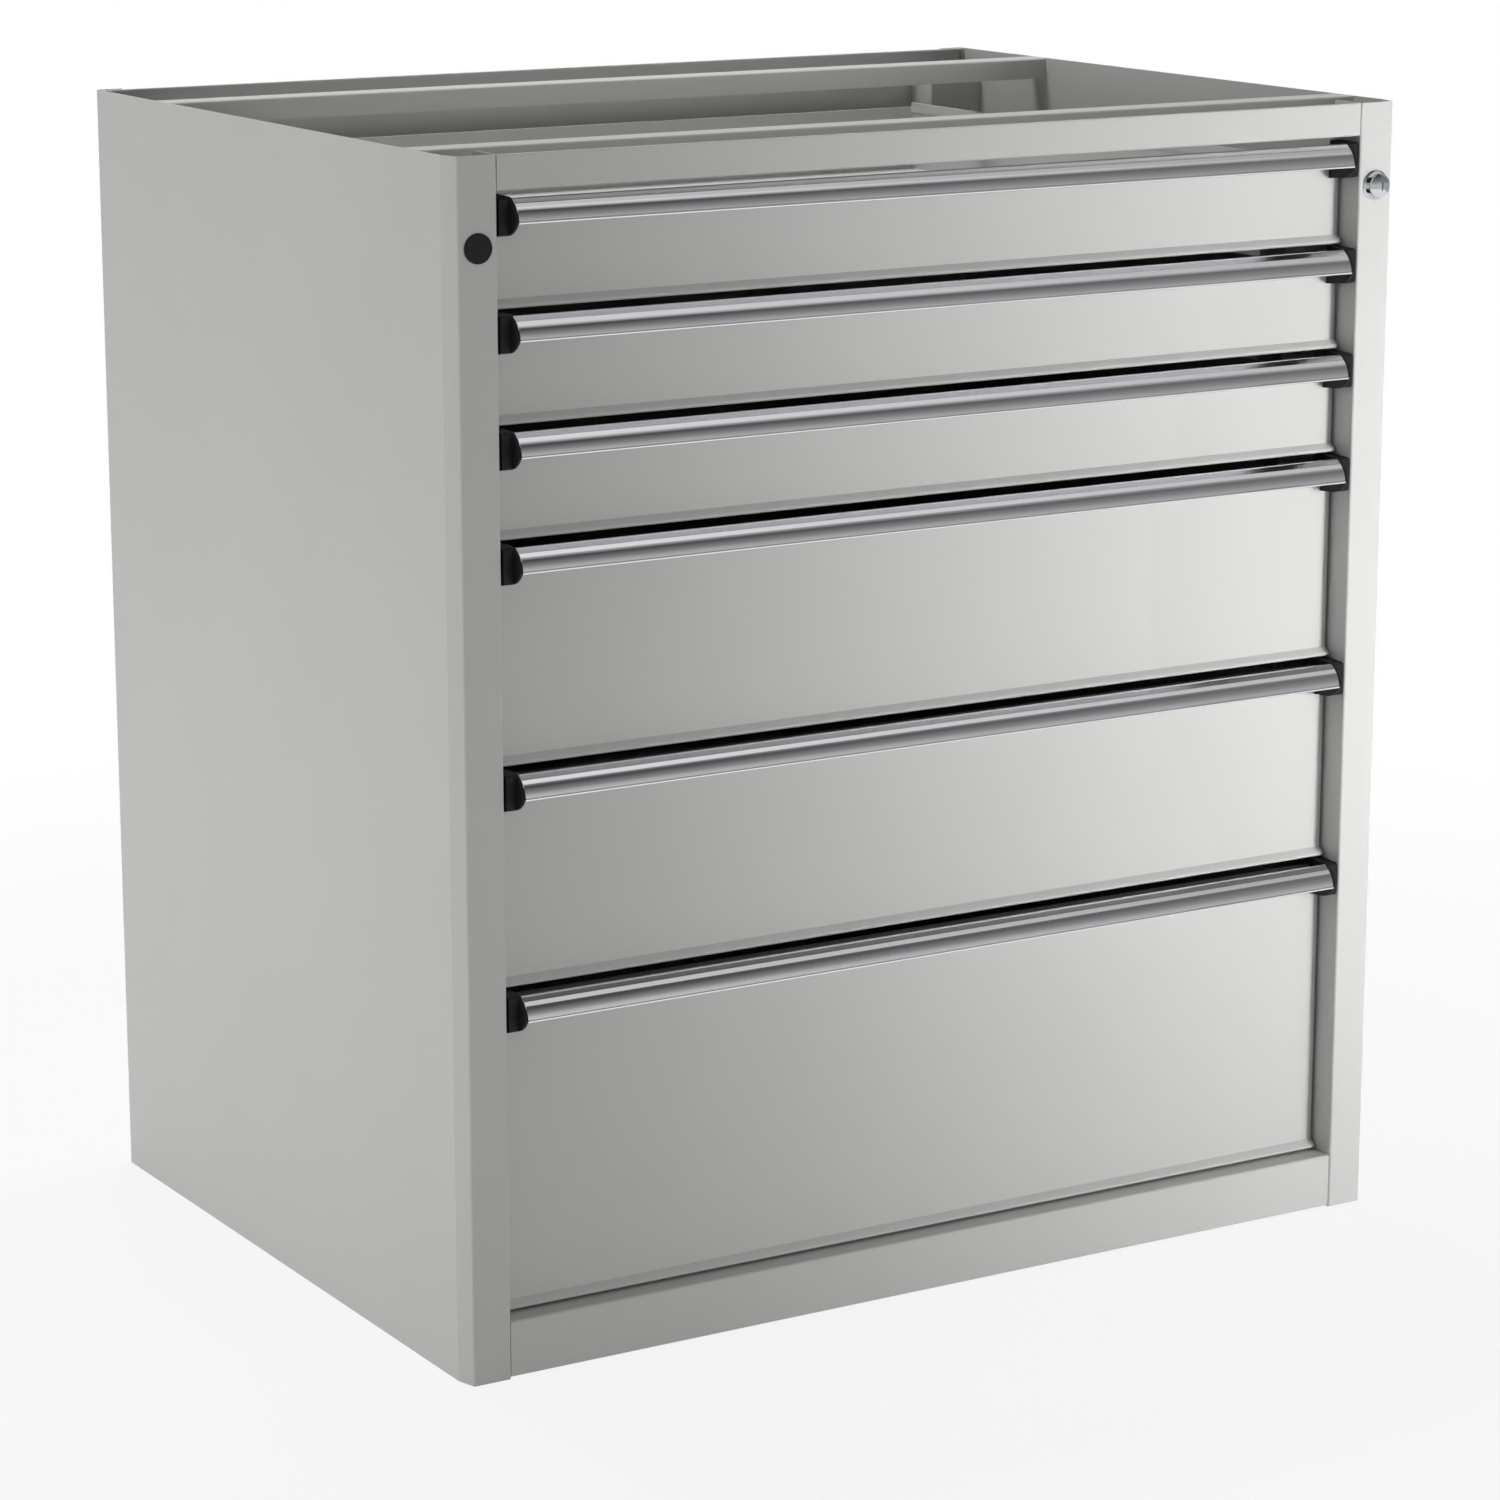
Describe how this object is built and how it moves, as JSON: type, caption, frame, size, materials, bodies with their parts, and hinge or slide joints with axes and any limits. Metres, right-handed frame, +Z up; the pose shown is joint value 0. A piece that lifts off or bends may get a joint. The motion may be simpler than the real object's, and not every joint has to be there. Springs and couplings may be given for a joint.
{
  "type": "drawer cabinet",
  "caption": "Open-topped sheet-steel workshop drawer cabinet with full-width aluminium grips, telescopic slides and a central lock in its right stile.",
  "frame": {"origin": "on the floor, under the middle of the bounding box", "axes": "+X to the right as seen from the front, +Y from the drawer fronts to the back, +Z up"},
  "size_m": [1.005, 0.757, 1.09],
  "materials": {
    "painted_steel": "light-grey powder coat, satin with a fine orange peel",
    "grip_aluminium": "bright anodised extrusion",
    "black_plastic": "moulded, fine grain",
    "chrome": "polished plating",
    "zinc_steel": "zinc-plated rolled steel"
  },
  "bodies": {
    "housing": {"left_side_panel": "painted_steel", "right_side_panel": "painted_steel", "back_panel": "painted_steel", "back_panel_screws": "zinc_steel", "base_panel": "painted_steel", "plinth": "painted_steel", "front_top_rail": "painted_steel", "rear_top_rail": "painted_steel", "slide_uprights": "painted_steel", "left_outer_rails": "zinc_steel", "right_outer_rails": "zinc_steel", "lock_barrel": "chrome", "lock_nut": "zinc_steel", "lock_bar_guides": "black_plastic", "blanking_plug": "black_plastic"},
    "lock_bar": {"lock_bar": "zinc_steel", "lock_bar_fingers": "zinc_steel"},
    "lock_core": {"lock_core": "chrome"},
    "drawer_1": {"drawer_1_front": "painted_steel", "drawer_1_tray": "painted_steel", "drawer_1_handle": "grip_aluminium", "drawer_1_end_caps": "black_plastic", "drawer_1_inner_rails": "zinc_steel", "drawer_1_catch": "zinc_steel"},
    "mid_slide_1": {"drawer_1_mid_rails": "zinc_steel"},
    "drawer_2": {"drawer_2_front": "painted_steel", "drawer_2_tray": "painted_steel", "drawer_2_handle": "grip_aluminium", "drawer_2_end_caps": "black_plastic", "drawer_2_inner_rails": "zinc_steel", "drawer_2_catch": "zinc_steel"},
    "mid_slide_2": {"drawer_2_mid_rails": "zinc_steel"},
    "drawer_3": {"drawer_3_front": "painted_steel", "drawer_3_tray": "painted_steel", "drawer_3_handle": "grip_aluminium", "drawer_3_end_caps": "black_plastic", "drawer_3_inner_rails": "zinc_steel", "drawer_3_catch": "zinc_steel"},
    "mid_slide_3": {"drawer_3_mid_rails": "zinc_steel"},
    "drawer_4": {"drawer_4_front": "painted_steel", "drawer_4_tray": "painted_steel", "drawer_4_handle": "grip_aluminium", "drawer_4_end_caps": "black_plastic", "drawer_4_inner_rails": "zinc_steel", "drawer_4_catch": "zinc_steel"},
    "mid_slide_4": {"drawer_4_mid_rails": "zinc_steel"},
    "drawer_5": {"drawer_5_front": "painted_steel", "drawer_5_tray": "painted_steel", "drawer_5_handle": "grip_aluminium", "drawer_5_end_caps": "black_plastic", "drawer_5_inner_rails": "zinc_steel", "drawer_5_catch": "zinc_steel"},
    "mid_slide_5": {"drawer_5_mid_rails": "zinc_steel"},
    "drawer_6": {"drawer_6_front": "painted_steel", "drawer_6_tray": "painted_steel", "drawer_6_handle": "grip_aluminium", "drawer_6_end_caps": "black_plastic", "drawer_6_inner_rails": "zinc_steel", "drawer_6_catch": "zinc_steel"},
    "mid_slide_6": {"drawer_6_mid_rails": "zinc_steel"}
  },
  "joints": [
    {"name": "drawer_1_slide", "type": "slide", "parent": "housing", "child": "drawer_1", "axis": [0, -1, 0], "range_m": [0, 0.6]},
    {"name": "mid_slide_1_slide", "type": "slide", "parent": "housing", "child": "mid_slide_1", "axis": [0, -1, 0], "range_m": [0, 0.3]},
    {"name": "drawer_2_slide", "type": "slide", "parent": "housing", "child": "drawer_2", "axis": [0, -1, 0], "range_m": [0, 0.6]},
    {"name": "mid_slide_2_slide", "type": "slide", "parent": "housing", "child": "mid_slide_2", "axis": [0, -1, 0], "range_m": [0, 0.3]},
    {"name": "drawer_3_slide", "type": "slide", "parent": "housing", "child": "drawer_3", "axis": [0, -1, 0], "range_m": [0, 0.6]},
    {"name": "mid_slide_3_slide", "type": "slide", "parent": "housing", "child": "mid_slide_3", "axis": [0, -1, 0], "range_m": [0, 0.3]},
    {"name": "drawer_4_slide", "type": "slide", "parent": "housing", "child": "drawer_4", "axis": [0, -1, 0], "range_m": [0, 0.6]},
    {"name": "mid_slide_4_slide", "type": "slide", "parent": "housing", "child": "mid_slide_4", "axis": [0, -1, 0], "range_m": [0, 0.3]},
    {"name": "drawer_5_slide", "type": "slide", "parent": "housing", "child": "drawer_5", "axis": [0, -1, 0], "range_m": [0, 0.6]},
    {"name": "mid_slide_5_slide", "type": "slide", "parent": "housing", "child": "mid_slide_5", "axis": [0, -1, 0], "range_m": [0, 0.3]},
    {"name": "drawer_6_slide", "type": "slide", "parent": "housing", "child": "drawer_6", "axis": [0, -1, 0], "range_m": [0, 0.6]},
    {"name": "mid_slide_6_slide", "type": "slide", "parent": "housing", "child": "mid_slide_6", "axis": [0, -1, 0], "range_m": [0, 0.3]},
    {"name": "lock_bar_slide", "type": "slide", "parent": "housing", "child": "lock_bar", "axis": [0, 0, 1], "range_m": [0, 0.0094]},
    {"name": "lock_core_turn", "type": "hinge", "parent": "housing", "child": "lock_core", "pos_m": [0.47825, -0.3665, 1.012], "axis": [0, 1, 0], "range_deg": [0, 90]}
  ],
  "couplings": [
    {"joint": "mid_slide_1_slide", "follows": "drawer_1_slide", "ratio": 0.5},
    {"joint": "mid_slide_2_slide", "follows": "drawer_2_slide", "ratio": 0.5},
    {"joint": "mid_slide_3_slide", "follows": "drawer_3_slide", "ratio": 0.5},
    {"joint": "mid_slide_4_slide", "follows": "drawer_4_slide", "ratio": 0.5},
    {"joint": "mid_slide_5_slide", "follows": "drawer_5_slide", "ratio": 0.5},
    {"joint": "mid_slide_6_slide", "follows": "drawer_6_slide", "ratio": 0.5},
    {"joint": "lock_core_turn", "follows": "lock_bar_slide", "rad_per_m": 166.67}
  ]
}
